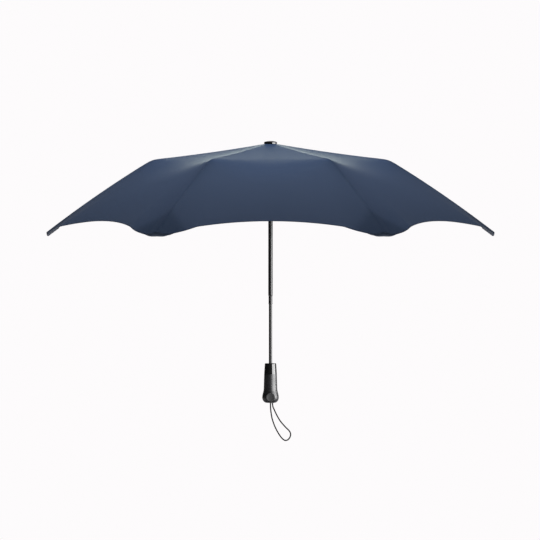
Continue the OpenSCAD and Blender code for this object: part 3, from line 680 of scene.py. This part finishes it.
# The crown's disc, from the eyelet to a little over the gores
CROWN_LAP = 0.8
turns = np.radians(np.linspace(0, 360, 73))
rings = np.array([EYELET_R, 8.5, 11, CROWN_R + CROWN_LAP])
disc = np.stack([rings[:, None] * np.cos(turns), rings[:, None] * np.sin(turns),
                 np.full((len(rings), len(turns)), APEX_Z)], -1)
cloth("canopy_crown", disc, np.broadcast_to([0, 0, 1.0], disc.shape), "upper_shaft", FAR, FAR,
      cut=(2 * rings[-1] * MM, 2 * rings[-1] * MM))


# Studio: a pale floor that keeps the shadow and fades into the backdrop, seen from above only

PAPER, FLOOR_COLOUR = (0.982, 0.965, 0.973, 1), (0.86, 0.845, 0.852, 1)
FLOOR_Z, FLOOR_HALF = -0.5, 4.0
FADE_FROM, FADE_TO, FADE_MOST = 0.9, 2.2, 0.5


def paper():
    made = material("floor", Base_Color=FLOOR_COLOUR, Roughness=0.9)
    tree = made.node_tree
    lit = tree.nodes["Principled BSDF"].outputs[0]
    rays = node(tree, "LightPath").outputs
    geometry = node(tree, "NewGeometry").outputs
    far = node(tree, "VectorMath", {0: geometry["Position"]}, operation="LENGTH").outputs["Value"]
    plain = node(tree, "Emission", {"Color": PAPER, "Strength": 1.0}).outputs[0]
    share = ramp(tree, far, FADE_FROM, FADE_TO, FADE_MOST, 0.0)
    faded = node(tree, "MixShader", {0: share, 1: plain, 2: lit}).outputs[0]
    above = node(tree, "MixShader", {0: rays["Is Camera Ray"], 1: lit, 2: faded}).outputs[0]
    below = math_node(tree, "MULTIPLY", rays["Is Camera Ray"], geometry["Backfacing"])
    clear = node(tree, "BsdfTransparent").outputs[0]
    whole = node(tree, "MixShader", {0: below, 1: above, 2: clear}).outputs[0]
    tree.links.new(whole, tree.nodes["Material Output"].inputs["Surface"])
    return made


floor = add_object("floor", bpy.data.meshes.new("floor"))
floor_corners = [(x * FLOOR_HALF, y * FLOOR_HALF, FLOOR_Z) for x, y in ((-1, -1), (1, -1), (1, 1), (-1, 1))]
floor.data.from_pydata(floor_corners, [], [(0, 1, 2, 3)])
floor.data.materials.append(paper())


def softbox(name, place, target, width, height, watts):
    lamp = bpy.data.lights.new(name, "AREA")
    lamp.shape, lamp.size, lamp.size_y = "RECTANGLE", width, height
    lamp.energy = watts
    obj = add_object(name, lamp)
    obj.location = place
    aim(obj, target)
    return obj


def only_on(lamp, objects):
    lit = bpy.data.collections.new("lit_by_" + lamp.name)
    for obj in objects:
        lit.objects.link(obj)
    lamp.light_linking.receiver_collection = lit


canopy = [obj for obj in scene.objects if obj.name.startswith("canopy_")]

top = softbox("top", (0, -0.15, 1.15), (0, -0.15, 0.5), width=1.3, height=0.6, watts=9.4)
top.visible_glossy = False

strip = softbox("strip", (1.28, -0.575, 0.15), (0, 0, 0.15), width=1.8, height=1.0, watts=102)
only_on(strip, [grip_shell] + [nodes[name] for name in (
    "handle_collar", "push_button", "lower_tube", "lower_bush", "middle_tube", "middle_bush",
    "upper_tube", "crown_cap")])

# The roof's sheen, then each wing's pale sheen on the two gores of its side
back = softbox("back", (0, 2.0, 0.94), (0, 0, 0.5), width=0.7, height=0.72, watts=6.0)
back.data.color = (0.90, 1.0, 0.88)
back.visible_diffuse = False
only_on(back, canopy)
for name, side, halves in (("left_wing", -1, ("3_left", "4_right", "4_left", "5_right")),
                           ("right_wing", 1, ("6_left", "1_right", "1_left", "2_right"))):
    wing = softbox(name, (side * 1.0, 1.7, 1.4), (side * 0.3, -0.1, 0.42), width=1.4, height=1.0, watts=0.22)
    wing.data.color = (1.0, 0.97, 0.7)
    wing.visible_diffuse = False
    only_on(wing, [obj for obj in canopy if obj.name.endswith(halves)])

# The floor's own light, for its shadow
sky = add_object("sky", bpy.data.lights.new("sky", "SUN"))
sky.data.energy, sky.data.angle = 2.1, math.radians(50)
only_on(sky, [floor])

# World: a faint ambient light, and the paper's white for the camera and, dimmer, for reflections
AMBIENT = 0.05
world = bpy.data.worlds.new("studio")
scene.world = world
world.use_nodes = True
tree = world.node_tree
light = tree.nodes["Background"]
light.inputs["Color"].default_value, light.inputs["Strength"].default_value = (1, 1, 1, 1), AMBIENT
seen = node(tree, "Background", {"Color": PAPER, "Strength": 1.0})
rays = node(tree, "LightPath").outputs
way = node(tree, "SeparateXYZ", {0: node(tree, "TexCoord").outputs["Generated"]}).outputs
behind = math_node(tree, "MAXIMUM", ramp(tree, way["Y"], 0.4, 0.95, 0.02, 0.14),
                   ramp(tree, way["Z"], -0.4, -0.95, 0.02, 1.0))
mirrored = math_node(tree, "MULTIPLY", behind, math_node(
    tree, "MAXIMUM", rays["Is Glossy Ray"], rays["Is Transmission Ray"]))
shown = math_node(tree, "MAXIMUM", rays["Is Camera Ray"], mirrored)
both = node(tree, "MixShader", {0: shown, 1: light.outputs[0], 2: seen.outputs[0]})
tree.links.new(both.outputs[0], tree.nodes["World Output"].inputs["Surface"])
